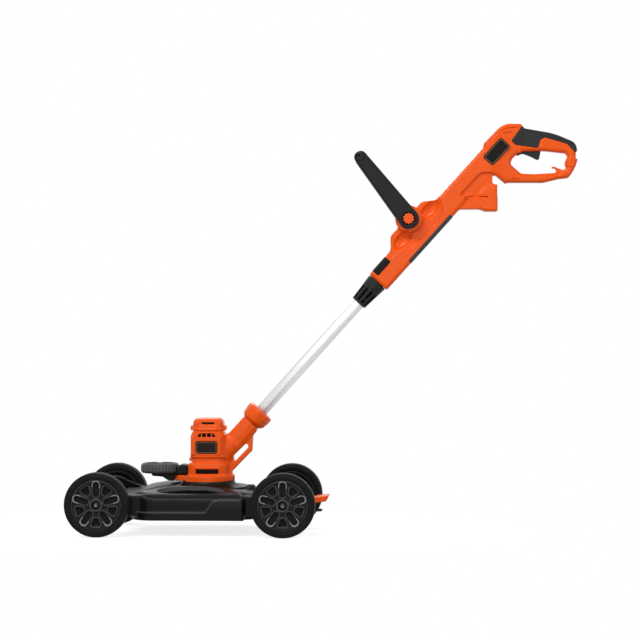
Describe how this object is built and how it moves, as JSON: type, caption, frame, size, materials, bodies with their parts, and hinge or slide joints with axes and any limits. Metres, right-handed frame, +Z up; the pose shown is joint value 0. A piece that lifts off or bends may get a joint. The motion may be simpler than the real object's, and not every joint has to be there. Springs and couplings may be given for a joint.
{
  "type": "wheeled string trimmer",
  "caption": "Corded string trimmer with a slanted telescoping shaft, D handle and bail, docked in a low wheeled mowing deck that its motor head lifts out of.",
  "frame": {"origin": "centre of the bounding box's base: ground under the wheels, on the machine's middle plane", "axes": "+X from the front wheels to the rear wheels and the handle, +Y to the far side of the picture, +Z up"},
  "size_m": [1.1526, 0.38, 0.9347],
  "materials": {
    "black": "fine moulded grain",
    "wheel_black": "satin moulded",
    "rim_grey": "satin moulded",
    "orange": "semi-gloss moulded",
    "guide_grey": "satin moulded",
    "grip": "soft matt",
    "tube": "drawn and anodised",
    "steel": "machined",
    "zinc": "zinc plated",
    "copper": "enamelled wire",
    "brass": "machined",
    "carbon": "carbon",
    "gear_white": "natural nylon",
    "line": "drawn nylon line"
  },
  "bodies": {
    "deck": {"deck_shell": "black", "axle_bolts": "zinc", "tail_plate": "black", "pedal_pin": "steel", "pedal_spring": "steel"},
    "pedal": {"release_pedal": "orange"},
    "wheel_front_left": {"tyre_front_left": "wheel_black", "rim_front_left": "rim_grey"},
    "wheel_front_right": {"tyre_front_right": "wheel_black", "rim_front_right": "rim_grey"},
    "wheel_rear_left": {"tyre_rear_left": "wheel_black", "rim_rear_left": "rim_grey"},
    "wheel_rear_right": {"tyre_rear_right": "wheel_black", "rim_rear_right": "rim_grey"},
    "head": {"motor_housing_left": "orange", "motor_housing_right": "orange", "motor_cap": "orange", "spool_guard": "black", "guide_arm": "black", "guide_axle": "steel", "neck_bush": "black", "collar_spring": "steel", "head_screws": "zinc", "stator": "steel", "field_coils": "copper", "brush_sets": "carbon", "upper_bearing": "steel", "lower_bearing": "steel", "output_bearing": "steel", "ring_gear": "gear_white"},
    "rotor": {"motor_shaft": "steel", "rotor_core": "steel", "commutator": "brass", "cooling_fan": "black", "sun_gear": "steel"},
    "spool": {"planet_carrier": "steel", "spool_housing": "black", "line_spool": "black", "line_winding": "line", "spool_cap": "orange"},
    "planet_a": {"planet_gear_a": "gear_white"},
    "planet_b": {"planet_gear_b": "gear_white"},
    "planet_c": {"planet_gear_c": "gear_white"},
    "guide": {"guide_wheel": "guide_grey"},
    "collar": {"twist_collar": "orange"},
    "shaft": {"lower_tube": "tube"},
    "upper": {"upper_housing_left": "orange", "upper_housing_right": "orange", "main_grip": "grip", "switch_block": "black", "trigger_pin": "steel", "trigger_spring": "steel", "plug_inlet": "black", "inlet_blades": "brass", "clamp_collet": "black", "pivot_bolt": "zinc"},
    "nut": {"clamp_nut": "black"},
    "bail": {"bail_handle": "black"},
    "button": {"lock_button": "orange"},
    "trigger": {"trigger": "black"}
  },
  "joints": [
    {"name": "pedal_press", "type": "hinge", "parent": "deck", "child": "pedal", "pos_m": [-0.11882, 0, 0.0835], "axis": [0, 1, 0], "range_deg": [0, 5.5], "stiffness_Nm_per_rad": 8, "springref_deg": -3.44, "deforming": ["pedal_spring"]},
    {"name": "wheel_front_left_spin", "type": "hinge", "parent": "deck", "child": "wheel_front_left", "pos_m": [-0.50382, -0.17, 0.0725], "axis": [0, 1, 0], "continuous": true},
    {"name": "wheel_front_right_spin", "type": "hinge", "parent": "deck", "child": "wheel_front_right", "pos_m": [-0.50382, 0.17, 0.0725], "axis": [0, 1, 0], "continuous": true},
    {"name": "wheel_rear_left_spin", "type": "hinge", "parent": "deck", "child": "wheel_rear_left", "pos_m": [-0.08682, -0.17, 0.0725], "axis": [0, 1, 0], "continuous": true},
    {"name": "wheel_rear_right_spin", "type": "hinge", "parent": "deck", "child": "wheel_rear_right", "pos_m": [-0.08682, 0.17, 0.0725], "axis": [0, 1, 0], "continuous": true},
    {"name": "head_lift", "type": "slide", "parent": "deck", "child": "head", "axis": [0, 0, 1], "range_m": [0, 0.15]},
    {"name": "rotor_spin", "type": "hinge", "parent": "head", "child": "rotor", "pos_m": [-0.26882, 0, 0.19], "axis": [0, 0, 1], "continuous": true},
    {"name": "spool_spin", "type": "hinge", "parent": "head", "child": "spool", "pos_m": [-0.26882, 0, 0.08], "axis": [0, 0, 1], "continuous": true},
    {"name": "planet_a_spin", "type": "hinge", "parent": "spool", "child": "planet_a", "pos_m": [-0.25382, 0, 0.137], "axis": [0, 0, 1], "continuous": true},
    {"name": "planet_b_spin", "type": "hinge", "parent": "spool", "child": "planet_b", "pos_m": [-0.27632, 0.01299, 0.137], "axis": [0, 0, 1], "continuous": true},
    {"name": "planet_c_spin", "type": "hinge", "parent": "spool", "child": "planet_c", "pos_m": [-0.27632, -0.01299, 0.137], "axis": [0, 0, 1], "continuous": true},
    {"name": "guide_spin", "type": "hinge", "parent": "head", "child": "guide", "pos_m": [-0.38182, 0, 0.145], "axis": [0, 0, 1], "continuous": true},
    {"name": "collar_pull", "type": "slide", "parent": "head", "child": "collar", "axis": [0.6691, 0, 0.7431], "range_m": [0, 0.008], "stiffness_N_per_m": 900, "springref_m": -0.006, "deforming": ["collar_spring"]},
    {"name": "shaft_turn", "type": "hinge", "parent": "head", "child": "shaft", "pos_m": [-0.26882, 0, 0.1413], "axis": [0.6691, 0, 0.7431], "range_deg": [0, 180]},
    {"name": "shaft_telescope", "type": "slide", "parent": "shaft", "child": "upper", "axis": [0.6691, 0, 0.7431], "range_m": [-0.12, 0.04]},
    {"name": "nut_turn", "type": "hinge", "parent": "upper", "child": "nut", "pos_m": [0.09653, 0, 0.54706], "axis": [0.6691, 0, 0.7431], "range_deg": [0, 90]},
    {"name": "bail_tilt", "type": "hinge", "parent": "upper", "child": "bail", "pos_m": [0.19208, 0, 0.71669], "axis": [0, 1, 0], "range_deg": [-40, 50]},
    {"name": "button_press", "type": "slide", "parent": "bail", "child": "button", "axis": [0, 1, 0], "range_m": [0, 0.004], "stiffness_N_per_m": 400, "springref_m": -0.004},
    {"name": "trigger_pull", "type": "hinge", "parent": "upper", "child": "trigger", "pos_m": [0.44458, 0, 0.87164], "axis": [0, 1, 0], "range_deg": [-9, 0], "stiffness_Nm_per_rad": 3, "springref_deg": 6.88, "deforming": ["trigger_spring"]}
  ],
  "couplings": [
    {"joint": "spool_spin", "follows": "rotor_spin", "ratio": 0.25},
    {"joint": "planet_a_spin", "follows": "rotor_spin", "ratio": -0.75},
    {"joint": "planet_b_spin", "follows": "rotor_spin", "ratio": -0.75},
    {"joint": "planet_c_spin", "follows": "rotor_spin", "ratio": -0.75}
  ]
}
